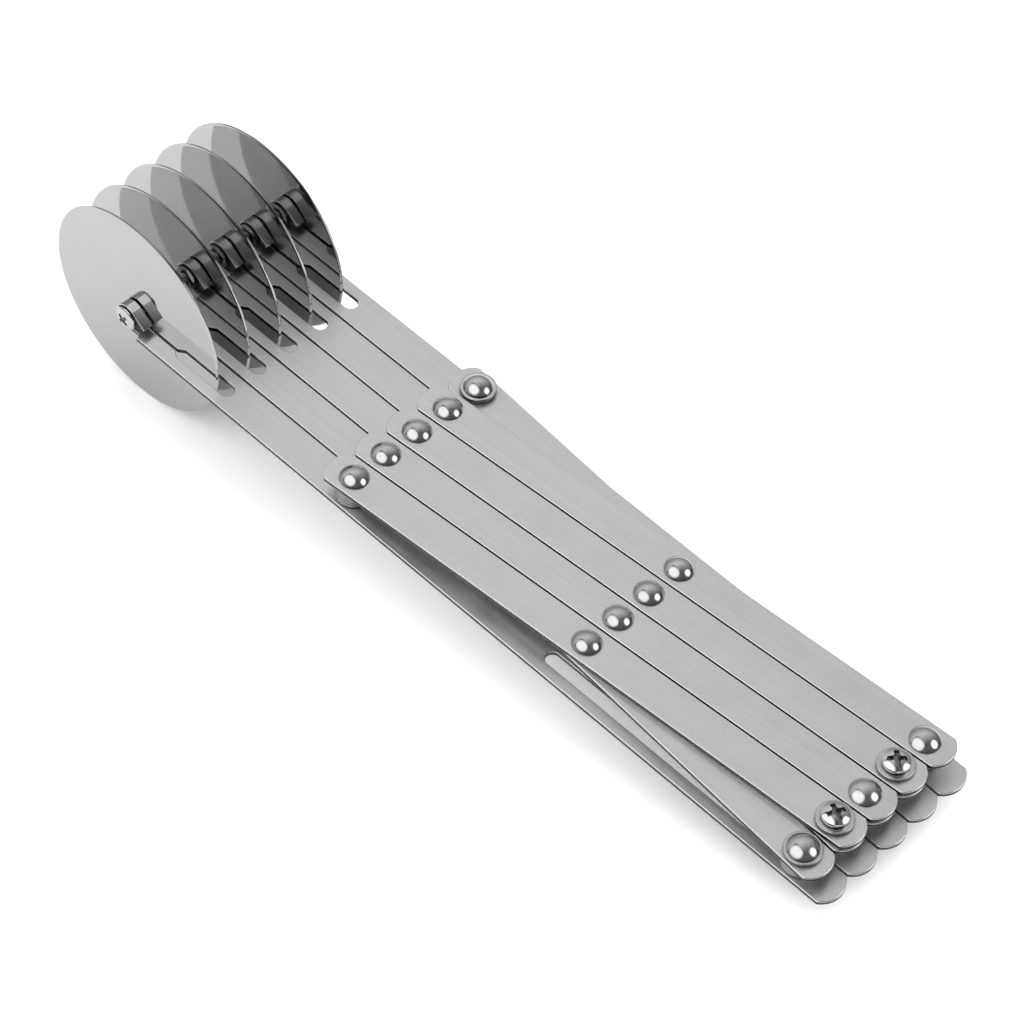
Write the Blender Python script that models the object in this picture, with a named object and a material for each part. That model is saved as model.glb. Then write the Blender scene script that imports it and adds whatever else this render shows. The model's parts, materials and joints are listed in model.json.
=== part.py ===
"""Expanding pastry cutter wheel: five round blades on bars that crossing links hold evenly apart.

The tool is drawn flat, with the wheel bars' top faces at z = 0, then the whole frame is tipped so
that it rests on its five wheels and on the two lock screws at the handle end.
+X runs across the bars, from column 1 to column 5, and +Y runs towards the wheels.
"""
import math

import bmesh
import bpy
from mathutils import Matrix, Vector

# Spacing of the mechanism, metres.
COLUMNS = 5
PITCH = 0.0098             # between neighbouring bars, tool closed
LINK_PIVOTS = 0.134        # front pivot to rear pivot on one crossing link
AXLE_AHEAD = 0.0717        # front pivot to wheel axle
AXLE_ABOVE = 0.0023        # wheel axle above the wheel bars' top faces
GAP = 0.0003               # clearance left between pieces that touch

# Strip metal.
STRIP = 0.0012             # thickness of every bar and link
WIDTH = 0.0094             # width of every bar and link
END_RADIUS = 0.0058        # arc that closes the end of a bar or link
LINK_OVERHANG = 0.0072     # link's tip beyond its last pivot
BAR_TAIL = 0.0112          # wheel bar's tip beyond the closed rear pivot
PIN_HOLE = 0.0018          # radius of every pivot hole
PIN_SLOT_HALF = 0.0018     # half width of the long slot in a wheel bar
PIN_SLOT_START = 0.0602    # front pivot to the start of the long slot
PIN_SLOT_SPARE = 0.0008    # slot beyond the pin when the tool is closed

# Fork that carries a wheel.
FORK_NARROW = 0.00065      # half width of the slot beside the axle
FORK_WIDE = 0.0018         # half width of the slot further back
FORK_DEPTH = 0.0320        # axle to the slot's round end
FORK_STEP_AT = 0.0136      # axle to where the slot widens
FORK_STEP_LENGTH = 0.0016
EYE_OUTSIDE = 0.00335      # outer side of an eye, across the tool
SHOULDER_AT = 0.0042       # axle to where the bar narrows to the eye
SHOULDER_LENGTH = 0.0005
EYE_TURN = math.radians(215)
EYE_LIP = 0.0048           # straight end of the rolled strip
EYE_STEPS = 10
HOLE_STEPS = 12
END_STEPS = 6

# Wheels.
WHEEL_RADIUS = 0.0275
WHEEL_HALF = 0.00035       # half the sheet thickness
WHEEL_EDGE_HALF = 0.0001
WHEEL_BEVEL = 0.0009
WHEEL_STEPS = 48

# Fasteners.
SHANK = 0.0015
RIVET_RADIUS = 0.00365
RIVET_HEIGHT = 0.0017
DOME_RINGS = (0, 0.35, 0.7, 1)     # shares of the dome's angle
TAIL_RADIUS = 0.0032
REAR_TAIL_RADIUS = 0.00365
TAIL_HEIGHT = 0.0009
TAIL_TAPER = 0.85
WASHER_RADIUS = 0.0043
WASHER_HEIGHT = 0.0007
SPACER_HEIGHT = 0.0027     # stack between a wheel bar and the lower links
SCREW_RADIUS = 0.0031
PAN_HEAD = ((0.72, 1), (0.93, 0.7), (1, 0.38), (1, 0))     # shares of radius and height
CROSS_ARM = 0.0017
CROSS_HALF = 0.00043
CROSS_FLOOR = 0.66         # recess floor's size, as a share of its mouth
CROSS_DEPTH = 0.6          # share of the head's height
LOCK_HEAD_HEIGHT = 0.0019
LOCK_SCREW_TIP = 0.0072    # lock screw's tip below the wheel bars' top faces
AXLE_HEAD_HEIGHT = 0.00105
AXLE_NUT_HEIGHT = 0.00095
AXLE_NUT_HALF = 0.00275    # half across the flats
LOCK_NUT_HALF = 0.0035
LOCK_NUT_FLANGE = 0.0008
LOCK_NUT_HEX = 0.0033
LOCK_NUT_COLLAR = 0.0010
LOCK_NUT_COLLAR_RADIUS = 0.0030
ROUND_STEPS = 20
HEX_STEPS = 24
SHARP_ANGLE = math.radians(35)

# Heights of the layers, from the wheel bars' top faces.
LOWER_Z = SPACER_HEIGHT + 2 * GAP
LOWER_TOP = LOWER_Z + STRIP
UPPER_Z = LOWER_TOP + GAP
UPPER_TOP = UPPER_Z + STRIP
BAR_BOTTOM = -STRIP

# The closed links lean this far from the bars, which sets the rear pivots' distance.
CLOSED_ANGLE = math.asin(PITCH / LINK_PIVOTS)
REAR = LINK_PIVOTS * math.cos(CLOSED_ANGLE)
HALF = WIDTH / 2
END_SPREAD = math.degrees(math.asin(HALF / END_RADIUS))


def clear_scene():
    for obj in list(bpy.data.objects):
        bpy.data.objects.remove(obj, do_unlink=True)


def metal(name, grey, roughness):
    """Bare stainless steel in one finish."""
    mat = bpy.data.materials.new(name)
    mat.use_nodes = True
    shader = mat.node_tree.nodes["Principled BSDF"]
    shader.inputs["Base Color"].default_value = (grey, grey, grey, 1.0)
    shader.inputs["Metallic"].default_value = 1.0
    shader.inputs["Roughness"].default_value = roughness
    return mat


def column_x(column):
    return (column - (COLUMNS + 1) / 2) * PITCH


def add_piece(name, bm, finish, body, at=(0.0, 0.0, 0.0), round_part=False):
    """Turn bm into an object of its own, riding on a body's empty."""
    bmesh.ops.recalc_face_normals(bm, faces=bm.faces)
    mesh = bpy.data.meshes.new(name)
    bm.to_mesh(mesh)
    bm.free()
    obj = bpy.data.objects.new(name, mesh)
    tool.objects.link(obj)
    mesh.materials.append(metal("steel_" + name, *finish))
    obj.parent = body
    obj.location = at
    if round_part:
        mesh.shade_smooth()
        mesh.set_sharp_from_angle(angle=SHARP_ANGLE)
    return obj


def add_body(name, at, parent, parent_at):
    """Empty on a joint's axis, hung from the body it turns on."""
    empty = bpy.data.objects.new(name, None)
    empty.empty_display_size = PITCH
    tool.objects.link(empty)
    empty.parent = parent
    empty.location = Vector(at) - Vector(parent_at)
    return empty


def arc(cx, cy, radius, start, end, steps):
    """Points on an arc, angles in degrees, both ends included."""
    turn = [math.radians(start + (end - start) * i / steps) for i in range(steps + 1)]
    return [(cx + radius * math.cos(a), cy + radius * math.sin(a)) for a in turn]


def circle(cx, cy, radius, steps):
    return arc(cx, cy, radius, 0, 360, steps)[:-1]


def slot_loop(y_front, y_rear, half, steps):
    """Long slot along Y with round ends."""
    return arc(0, y_front - half, half, 0, 180, steps) + arc(0, y_rear + half, half, 180, 360, steps)


def plate(loops, z):
    """Closed strip-metal plate from an outline and its holes, standing on height z."""
    bm = bmesh.new()
    edges = []
    for loop in loops:
        verts = [bm.verts.new((x, y, z)) for x, y in loop]
        edges += [bm.edges.new((verts[i - 1], verts[i])) for i in range(len(verts))]
    bmesh.ops.triangle_fill(bm, use_beauty=True, use_dissolve=False, edges=edges)
    grown = bmesh.ops.extrude_face_region(bm, geom=bm.faces[:])
    top = [v for v in grown["geom"] if isinstance(v, bmesh.types.BMVert)]
    bmesh.ops.translate(bm, verts=top, vec=(0, 0, STRIP))
    bmesh.ops.recalc_face_normals(bm, faces=bm.faces)
    return bm


def link_plate(lean, z):
    """Crossing link, drawn about its middle pivot and leaning from the bars."""
    centre = LINK_PIVOTS / 2 + LINK_OVERHANG - END_RADIUS
    outline = arc(0, centre, END_RADIUS, 90 - END_SPREAD, 90 + END_SPREAD, END_STEPS)
    outline += arc(0, -centre, END_RADIUS, 270 - END_SPREAD, 270 + END_SPREAD, END_STEPS)
    loops = [outline]
    for y in (LINK_PIVOTS / 2, 0, -LINK_PIVOTS / 2):
        loops.append(circle(0, y, PIN_HOLE, HOLE_STEPS))
    bm = plate(loops, z)
    bmesh.ops.rotate(bm, cent=(0, 0, 0), matrix=Matrix.Rotation(lean, 3, "Z"), verts=bm.verts)
    return bm


def bar_plate():
    """Wheel bar with its fork, pin slot and two rolled eyes, drawn about its front pivot."""
    rear_centre = -(REAR + BAR_TAIL - END_RADIUS)
    side = arc(0, rear_centre, END_RADIUS, 270, 270 + END_SPREAD, END_STEPS // 2)
    side += [
        (HALF, AXLE_AHEAD - SHOULDER_AT - SHOULDER_LENGTH),
        (EYE_OUTSIDE, AXLE_AHEAD - SHOULDER_AT),
        (EYE_OUTSIDE, AXLE_AHEAD),
        (FORK_NARROW, AXLE_AHEAD),
        (FORK_NARROW, AXLE_AHEAD - FORK_STEP_AT),
        (FORK_WIDE, AXLE_AHEAD - FORK_STEP_AT - FORK_STEP_LENGTH),
    ]
    side += arc(0, AXLE_AHEAD - FORK_DEPTH + FORK_WIDE, FORK_WIDE, 360, 270, END_STEPS)
    other_side = [(-x, y) for x, y in reversed(side[1:-1])]
    slot_end = REAR + SHANK + PIN_SLOT_SPARE
    pin_slot = slot_loop(-PIN_SLOT_START, -slot_end, PIN_SLOT_HALF, END_STEPS)
    bm = plate([side + other_side, circle(0, 0, PIN_HOLE, HOLE_STEPS), pin_slot], BAR_BOTTOM)
    prong_ends = [f for f in bm.faces if all(abs(v.co.y - AXLE_AHEAD) < GAP / 10 for v in f.verts)]
    for face in prong_ends:
        roll_eye(bm, face)
    return bm


def roll_eye(bm, face):
    """Roll a prong's end up and over the axle, then lay its lip back towards the bar."""
    step = EYE_TURN / EYE_STEPS
    axle = Vector((0, AXLE_AHEAD, AXLE_ABOVE))
    for _ in range(EYE_STEPS):
        face = extrude_end(bm, face)
        bmesh.ops.rotate(bm, cent=axle, matrix=Matrix.Rotation(step, 3, "X"), verts=face.verts)
    face = extrude_end(bm, face)
    lip = Vector((0, math.cos(EYE_TURN), math.sin(EYE_TURN))) * EYE_LIP
    bmesh.ops.translate(bm, verts=face.verts, vec=lip)


def extrude_end(bm, face):
    """Pull a new end face out of an old one, in place."""
    grown = bmesh.ops.extrude_face_region(bm, geom=[face])["geom"]
    if face.is_valid:
        bmesh.ops.delete(bm, geom=[face], context="FACES_ONLY")
    return next(g for g in grown if isinstance(g, bmesh.types.BMFace))


def ring(bm, radius, z, steps, hexagon=False):
    """One ring of vertices about Z, a single vertex on the axis, or a hexagon."""
    if radius == 0:
        return [bm.verts.new((0, 0, z))]
    verts = []
    for i in range(steps):
        a = 2 * math.pi * i / steps
        r = radius
        if hexagon:
            r = radius / math.cos((a + math.pi / 6) % (math.pi / 3) - math.pi / 6)
        verts.append(bm.verts.new((r * math.cos(a), r * math.sin(a), z)))
    return verts


def join_rings(bm, upper, lower):
    """Wall between two rings, either of which may be a single vertex."""
    count = max(len(upper), len(lower))
    for i in range(count):
        j = (i + 1) % count
        corners = [upper[i % len(upper)], upper[j % len(upper)], lower[j % len(lower)], lower[i % len(lower)]]
        bm.faces.new(list(dict.fromkeys(corners)))


def turned(profile, steps=ROUND_STEPS, through_hole=False):
    """Solid turned about Z from (radius, z) points listed from the top down the outer side."""
    bm = bmesh.new()
    rings = [ring(bm, point[0], point[1], steps, len(point) > 2) for point in profile]
    for upper, lower in zip(rings, rings[1:]):
        join_rings(bm, upper, lower)
    if through_hole:
        join_rings(bm, rings[-1], rings[0])
    return bm


def washer(z, height):
    """Ring standing on height z; a taller one is a spacer."""
    top = z + height
    profile = [(PIN_HOLE, top), (WASHER_RADIUS, top), (WASHER_RADIUS, z), (PIN_HOLE, z)]
    return turned(profile, through_hole=True)


def rivet(seat, foot, tail_radius):
    """Round-head rivet: head sits on height seat, formed tail hangs from height foot."""
    sphere = (RIVET_RADIUS ** 2 + RIVET_HEIGHT ** 2) / (2 * RIVET_HEIGHT)
    widest = math.asin(RIVET_RADIUS / sphere)
    dome = [widest * share for share in DOME_RINGS]
    profile = [(sphere * math.sin(a), seat + RIVET_HEIGHT - sphere * (1 - math.cos(a))) for a in dome]
    profile += [
        (SHANK, seat),
        (SHANK, foot),
        (tail_radius, foot),
        (tail_radius * TAIL_TAPER, foot - TAIL_HEIGHT),
        (0, foot - TAIL_HEIGHT),
    ]
    return turned(profile)


def cross_outline(scale, z):
    """Twelve corners of a cross-shaped recess."""
    arm = CROSS_ARM * scale
    half = CROSS_HALF * scale
    points = []
    for quarter in range(4):
        turn = Matrix.Rotation(quarter * math.pi / 2, 2)
        points += [turn @ Vector(p) for p in ((arm, -half), (arm, half), (half, half))]
    return [(p.x, p.y, z) for p in points]


def cross_screw(seat, height, tip):
    """Pan-head screw with a cross recess: head on height seat, tip at height tip."""
    top = seat + height
    head = [(SCREW_RADIUS * wide, seat + height * high) for wide, high in PAN_HEAD]
    bm = turned(head + [(SHANK, seat), (SHANK, tip), (0, tip)])
    rim = [e for e in bm.edges if e.is_boundary]
    mouth = [bm.verts.new(p) for p in cross_outline(1, top)]
    floor = [bm.verts.new(p) for p in cross_outline(CROSS_FLOOR, top - height * CROSS_DEPTH)]
    lip = [bm.edges.new((mouth[i - 1], mouth[i])) for i in range(len(mouth))]
    bmesh.ops.triangle_fill(bm, use_beauty=True, use_dissolve=False, edges=rim + lip)
    join_rings(bm, mouth, floor)
    bm.faces.new(floor)
    return bm


def hex_nut(top, height, half):
    """Plain thin hexagon nut."""
    profile = [(PIN_HOLE, top), (half, top, "hex"), (half, top - height, "hex"), (PIN_HOLE, top - height)]
    return turned(profile, HEX_STEPS, through_hole=True)


def lock_nut(top):
    """Flanged hexagon nut with a round locking collar under it."""
    flange_z = top - LOCK_NUT_FLANGE
    hex_z = flange_z - LOCK_NUT_HEX
    collar_z = hex_z - LOCK_NUT_COLLAR
    profile = [
        (PIN_HOLE, top),
        (WASHER_RADIUS, top),
        (WASHER_RADIUS, flange_z),
        (LOCK_NUT_HALF, flange_z, "hex"),
        (LOCK_NUT_HALF, hex_z, "hex"),
        (LOCK_NUT_COLLAR_RADIUS, hex_z),
        (LOCK_NUT_COLLAR_RADIUS, collar_z),
        (PIN_HOLE, collar_z),
    ]
    return turned(profile, HEX_STEPS, through_hole=True)


def lay_across(bm):
    """Turn a piece built about Z so its top faces column 1."""
    bmesh.ops.rotate(bm, cent=(0, 0, 0), matrix=Matrix.Rotation(-math.pi / 2, 3, "Y"), verts=bm.verts)
    return bm


def build_wheel_group(column, body):
    """Wheel bar, its front pivot hardware, axle, nut and wheel."""
    n = str(column)
    add_piece("wheel_bar_" + n, bar_plate(), BRUSHED, body)
    stack = UPPER_Z - 2 * GAP if column == 1 else SPACER_HEIGHT
    add_piece("front_spacer_" + n, washer(GAP, stack), POLISHED, body, round_part=True)
    if column == COLUMNS:
        cap = washer(UPPER_Z, STRIP)
        add_piece("front_cap_washer_" + n, cap, POLISHED, body, round_part=True)
    front = rivet(UPPER_TOP + GAP, BAR_BOTTOM - GAP, TAIL_RADIUS)
    add_piece("front_rivet_" + n, front, POLISHED, body, round_part=True)
    axle_at = (0, AXLE_AHEAD, AXLE_ABOVE)
    seat = EYE_OUTSIDE + GAP
    screw = lay_across(cross_screw(seat, AXLE_HEAD_HEIGHT, -HALF))
    add_piece("axle_screw_" + n, screw, POLISHED, body, axle_at, round_part=True)
    nut = lay_across(hex_nut(-seat, AXLE_NUT_HEIGHT, AXLE_NUT_HALF))
    add_piece("axle_nut_" + n, nut, POLISHED, body, axle_at)
    build_wheel(n, add_body("wheel_spin_" + n, axle_at, body, (0, 0, 0)))


def build_wheel(n, body):
    """Blade with a bevelled rim, turned so that one rim vertex meets the bench."""
    rim = WHEEL_RADIUS - WHEEL_BEVEL
    profile = [
        (PIN_HOLE, WHEEL_HALF),
        (rim, WHEEL_HALF),
        (WHEEL_RADIUS, WHEEL_EDGE_HALF),
        (WHEEL_RADIUS, -WHEEL_EDGE_HALF),
        (rim, -WHEEL_HALF),
        (PIN_HOLE, -WHEEL_HALF),
    ]
    disc = lay_across(turned(profile, WHEEL_STEPS, through_hole=True))
    wheel = add_piece("cutting_wheel_" + n, disc, MIRROR, body, round_part=True)
    wheel.rotation_euler.x = -TILT


def build_rear_pin(column, body, at):
    """Handle-end pivot: rivets in the odd columns, lock screws in the even ones."""
    n = str(column)
    stack = UPPER_Z - 2 * GAP if column == COLUMNS else SPACER_HEIGHT
    add_piece("rear_spacer_" + n, washer(GAP, stack), POLISHED, body, at, round_part=True)
    seat = (LOWER_TOP if column == 1 else UPPER_TOP) + GAP
    if column == 1 or column % 2 == 0:
        under_head = washer(seat, WASHER_HEIGHT)
        add_piece("rear_washer_" + n, under_head, POLISHED, body, at, round_part=True)
        seat += WASHER_HEIGHT + GAP
    if column % 2:
        pin = rivet(seat, BAR_BOTTOM - GAP, REAR_TAIL_RADIUS)
        add_piece("rear_rivet_" + n, pin, POLISHED, body, at, round_part=True)
        return
    screw = cross_screw(seat, LOCK_HEAD_HEIGHT, -LOCK_SCREW_TIP)
    add_piece("lock_screw_" + n, screw, POLISHED, body, at, round_part=True)
    add_piece("lock_nut_" + n, lock_nut(BAR_BOTTOM - GAP), POLISHED, body, at)


def build_link(kind, index, body, body_at):
    """Upper links run from column index to the next; lower links cross them underneath."""
    upper = kind == "upper"
    lean = CLOSED_ANGLE if upper else -CLOSED_ANGLE
    middle = cross_at(index)
    name = kind + "_link_" + str(index)
    offset = Vector(middle) - Vector(body_at)
    add_piece(name, link_plate(lean, UPPER_Z if upper else LOWER_Z), BRUSHED, body, offset)
    if upper:
        pin = rivet(UPPER_TOP + GAP, LOWER_Z - GAP, TAIL_RADIUS)
        add_piece("cross_rivet_" + str(index), pin, POLISHED, body, offset, round_part=True)
        build_rear_pin(index + 1, body, Vector(rear_at(index + 1)) - Vector(body_at))
    elif index == 1:
        build_rear_pin(1, body, Vector(rear_at(1)) - Vector(body_at))


def front_at(column):
    return (column_x(column), 0.0, 0.0)


def cross_at(index):
    return ((column_x(index) + column_x(index + 1)) / 2, -REAR / 2, 0.0)


def rear_at(column):
    return (column_x(column), -REAR, 0.0)


def build_chain():
    """Bodies hang from the middle wheel bar, one pivot after another, out to both sides."""
    at = {"bar_3": front_at(3)}
    body = {"bar_3": add_body("bar_3", front_at(3), frame, (0, 0, 0))}
    hung = [
        ("upper_3", "bar_3", front_at(3)),
        ("lower_3", "upper_3", cross_at(3)),
        ("bar_4", "lower_3", front_at(4)),
        ("upper_4", "bar_4", front_at(4)),
        ("lower_4", "upper_4", cross_at(4)),
        ("bar_5", "lower_4", front_at(5)),
        ("lower_2", "bar_3", front_at(3)),
        ("upper_2", "lower_2", cross_at(2)),
        ("bar_2", "upper_2", front_at(2)),
        ("lower_1", "bar_2", front_at(2)),
        ("upper_1", "lower_1", cross_at(1)),
        ("bar_1", "upper_1", front_at(1)),
    ]
    for name, parent, where in hung:
        at[name] = where
        body[name] = add_body(name, where, body[parent], at[parent])
    for name in sorted(body):
        kind, number = name.split("_")
        if kind == "bar":
            build_wheel_group(int(number), body[name])
        else:
            build_link(kind, int(number), body[name], at[name])


def resting_tilt():
    """Lean that puts the wheels' rims and the lock screws' tips on one floor."""
    reach = AXLE_AHEAD + REAR + SHANK
    drop = AXLE_ABOVE + LOCK_SCREW_TIP
    return math.asin(WHEEL_RADIUS / math.hypot(reach, drop)) - math.atan2(drop, reach)


def resting_place():
    """Shift that stands the tipped tool on z = 0 with its box centred on the origin."""
    front = AXLE_AHEAD * math.cos(TILT) - AXLE_ABOVE * math.sin(TILT) + WHEEL_RADIUS
    rear = -(REAR + BAR_TAIL) * math.cos(TILT)
    floor = AXLE_AHEAD * math.sin(TILT) + AXLE_ABOVE * math.cos(TILT) - WHEEL_RADIUS
    return (0.0, -(front + rear) / 2, -floor)


BRUSHED = (0.62, 0.30)
POLISHED = (0.70, 0.16)
MIRROR = (0.74, 0.07)
TILT = resting_tilt()

clear_scene()
tool = bpy.data.collections.new("pastry_cutter_wheel")
bpy.context.scene.collection.children.link(tool)
frame = bpy.data.objects.new("resting_frame", None)
tool.objects.link(frame)
frame.location = resting_place()
frame.rotation_euler.x = TILT
build_chain()
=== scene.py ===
import json
import math

import bmesh
import bpy
from mathutils import Matrix, Vector


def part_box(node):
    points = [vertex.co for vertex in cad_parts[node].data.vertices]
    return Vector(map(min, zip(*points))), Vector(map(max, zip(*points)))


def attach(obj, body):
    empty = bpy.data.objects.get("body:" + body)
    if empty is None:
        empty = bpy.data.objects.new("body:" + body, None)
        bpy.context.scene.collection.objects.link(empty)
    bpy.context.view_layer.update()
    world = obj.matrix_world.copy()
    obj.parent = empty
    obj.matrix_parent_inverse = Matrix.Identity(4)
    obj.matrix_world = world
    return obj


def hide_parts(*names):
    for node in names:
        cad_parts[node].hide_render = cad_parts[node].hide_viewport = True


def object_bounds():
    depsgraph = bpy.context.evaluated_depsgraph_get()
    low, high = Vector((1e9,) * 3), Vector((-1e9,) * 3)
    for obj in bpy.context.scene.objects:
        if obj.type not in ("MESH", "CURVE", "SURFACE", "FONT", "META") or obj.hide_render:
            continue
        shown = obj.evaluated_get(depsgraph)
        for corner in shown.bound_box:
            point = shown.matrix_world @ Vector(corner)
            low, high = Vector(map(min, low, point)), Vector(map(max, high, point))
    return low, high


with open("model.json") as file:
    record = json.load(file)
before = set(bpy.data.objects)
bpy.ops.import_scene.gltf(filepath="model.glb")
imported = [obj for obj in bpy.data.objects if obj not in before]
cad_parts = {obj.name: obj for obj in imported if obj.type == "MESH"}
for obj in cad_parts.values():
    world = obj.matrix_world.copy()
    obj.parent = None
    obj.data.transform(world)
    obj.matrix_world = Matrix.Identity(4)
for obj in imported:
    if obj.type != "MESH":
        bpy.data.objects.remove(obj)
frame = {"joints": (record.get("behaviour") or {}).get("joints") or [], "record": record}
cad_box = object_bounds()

# Strip metal, metres.
STRIP = 0.0012
WIDTH = 0.0094
GAP = 0.0003
END_RADIUS = 0.0058
LINK_OVERHANG = 0.0072
BAR_TAIL = 0.0112
PIN_HOLE = 0.0018
PIN_SLOT_HALF = 0.0018
PIN_SLOT_START = 0.0602
PIN_SLOT_SPARE = 0.0023
EDGE_ROUND = 0.0002
EDGE_STEPS = 3
ARC_STEP = math.radians(6)
SAME_PLACE = 1e-7
CORNER_SHARE = 0.45

# The kinds of face on strip metal, each with the number of its material.
FLAT, EDGE_FACE, SIDE, ROLL = range(4)

# Fork and rolled eyes.
FORK_NARROW = 0.00065
FORK_WIDE = 0.0018
FORK_DEPTH = 0.0320
FORK_STEP_AT = 0.0136
FORK_STEP_LENGTH = 0.0016
EYE_OUTSIDE = 0.00335
SHOULDER_AT = 0.0042
SHOULDER_LENGTH = 0.0005
EYE_TURN = math.radians(215)
EYE_LIP = 0.0048
EYE_CUTS = 36

# Blades.
BLADE_RADIUS = 0.0275
BLADE_HALF = 0.00035
BLADE_EDGE_HALF = 0.0001
BLADE_BEVEL = 0.0005
BLADE_HOLE_ROUND = 0.0001
BLADE_BEVEL_ROUND = 0.00012

# Fasteners.
SHANK = 0.0015
RIVET_RADIUS = 0.00345
RIVET_HEIGHT = 0.00165
REAR_RIVET_RADIUS = 0.00358
REAR_RIVET_HEIGHT = 0.0015
TAIL_RADIUS = 0.0032
REAR_TAIL_RADIUS = 0.00365
TAIL_HEIGHT = 0.0009
TAIL_TAPER = 0.85
HEAD_UNDERCUT = 0.0001
HEAD_SKIRT = 0.00012
RIVET_ROUND = 0.00005
WASHER_RADIUS = 0.0043
WASHER_HEIGHT = 0.0007
WASHER_ROUND = 0.00026
WASHER_PLAY = 0.04
RIM_SLOPE = 0.2
SPACER_HEIGHT = 0.0027
STACK_COUNT = 4
TALL_STACK_COUNT = 6
SCREW_RADIUS = 0.0032
SCREW_SHOULDER = 0.96
SCREW_WIDEST_AT = 0.55
SCREW_SEAT = 0.97
SCREW_TIP = 0.8
SCREW_ROUND = 0.0004
SCREW_POINT = 0.0003
LOCK_HEAD_HEIGHT = 0.0019
LOCK_CROWN = 0.00085
LOCK_SCREW_TIP = 0.0072
AXLE_HEAD_HEIGHT = 0.00105
AXLE_CROWN = 0.0006
AXLE_CROSS_ARM = 0.0016
AXLE_NUT_HEIGHT = 0.00095
AXLE_NUT_HALF = 0.00275
LOCK_NUT_HALF = 0.0035
LOCK_NUT_FLANGE = 0.0008
LOCK_NUT_HEX = 0.0033
LOCK_NUT_COLLAR = 0.0010
LOCK_NUT_COLLAR_RADIUS = 0.0030
LOCK_NUT_FLANGE_ROUND = 0.0003
LOCK_NUT_COLLAR_ROUND = 0.0004
NUT_CHAMFER = math.radians(28)
NUT_FLAT = 0.95
NUT_HOLE_CHAMFER = 0.0002
CROSS_ARM = 0.00215
CROSS_HALF = 0.00058
CROSS_DEPTH = 0.78
RECESS_MARGIN = 0.00003
ROUND_STEPS = 72
BLADE_STEPS = 192
DOME_STEPS = 14
SCREW_DOME_STEPS = 8
SHARP_ANGLE = math.radians(38)

# Turns in degrees, so much for each column, that keep the copies of a fastener from looking alike.
FRONT_PIN_TURN = 37
CROSS_PIN_TURN = 53
REAR_PIN_TURN = 71
AXLE_SCREW_START = 20
AXLE_SCREW_TURN = 31
AXLE_NUT_TURN = 17
LOCK_NUT_TURN = 11
LOCK_SCREW_TURNS = {2: -24, 4: -44}

# Heights of the layers, from the wheel bars' top faces.
LOWER_Z = SPACER_HEIGHT + 2 * GAP
LOWER_TOP = LOWER_Z + STRIP
UPPER_Z = LOWER_TOP + GAP
UPPER_TOP = UPPER_Z + STRIP
BAR_BOTTOM = -STRIP
HALF = WIDTH / 2
END_SPREAD = math.asin(HALF / END_RADIUS)

joints = {j["name"]: j for j in frame["joints"]}
body_of = {n: body for body, nodes in frame["record"]["behaviour"]["bodies"].items() for n in nodes}


def tool_matrix():
    """The tool's own frame: across, ahead to the blades, and up out of the bars."""
    hinge = joints["open"]
    across = Vector((1, 0, 0))
    up = Vector(hinge["axis"]).normalized()
    turn = Matrix((across, up.cross(across), up)).transposed().to_4x4()
    return Matrix.Translation(hinge["pos_m"]) @ turn


TOOL = tool_matrix()


def on_tool(point):
    """Point of the row frame in the tool's own frame."""
    return TOOL.inverted() @ Vector(point)


def pivot(joint):
    at = on_tool(joints[joint]["pos_m"])
    return Vector((at.x, at.y, 0))


COLUMNS = range(1, 6)
FRONT = {c: pivot("open" if c == 3 else f"pivot_bar_{c}") for c in COLUMNS}
CROSS_JOINTS = ("pivot_upper_1", "pivot_upper_2", "pivot_lower_3", "pivot_lower_4")
CROSS = {i: pivot(joint) for i, joint in enumerate(CROSS_JOINTS, 1)}
AXLE = {c: on_tool(joints[f"spin_{c}"]["pos_m"]) for c in COLUMNS}
REAR = {}
for column in COLUMNS:
    low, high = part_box(f"rear_spacer_{column}")
    middle = on_tool((low + high) / 2)
    REAR[column] = Vector((middle.x, middle.y, 0))
AXLE_AHEAD = AXLE[3].y - FRONT[3].y
AXLE_ABOVE = AXLE[3].z
REACH = FRONT[3].y - REAR[3].y
LINK_PIVOTS = (FRONT[3] - REAR[4]).length
LEAN = math.atan2(REAR[4].x - FRONT[3].x, REACH)


# ---------------------------------------------------------------- geometry

def arc(cx, cy, radius, start, end):
    """Points on an arc, angles in radians, both ends included."""
    steps = max(2, round(abs(end - start) / ARC_STEP))
    turn = [start + (end - start) * i / steps for i in range(steps + 1)]
    return [(cx + radius * math.cos(a), cy + radius * math.sin(a)) for a in turn]


def hole(y):
    """Round pin hole, listed clockwise."""
    return arc(0, y, PIN_HOLE, 2 * math.pi, 0)[:-1]


def inset(loop, amount):
    """The loop moved by amount to its left, where the metal is."""
    points = [Vector(p) for p in loop]
    moved = []
    for i, p in enumerate(points):
        before = (p - points[i - 1]).normalized()
        after = (points[(i + 1) % len(points)] - p).normalized()
        left = Vector((-before.y - after.y, before.x + after.x))
        moved.append(p + left * (amount / (1 + before.dot(after))))
    return moved


def rim_profile(height):
    """(inset, height) pairs up a sheet's rounded edge."""
    turn = [math.pi / 2 * i / EDGE_STEPS for i in range(EDGE_STEPS + 1)]
    lower = [(EDGE_ROUND * (1 - math.sin(a)), EDGE_ROUND * (1 - math.cos(a))) for a in turn]
    return lower + [(side, height - z) for side, z in reversed(lower)]


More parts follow.
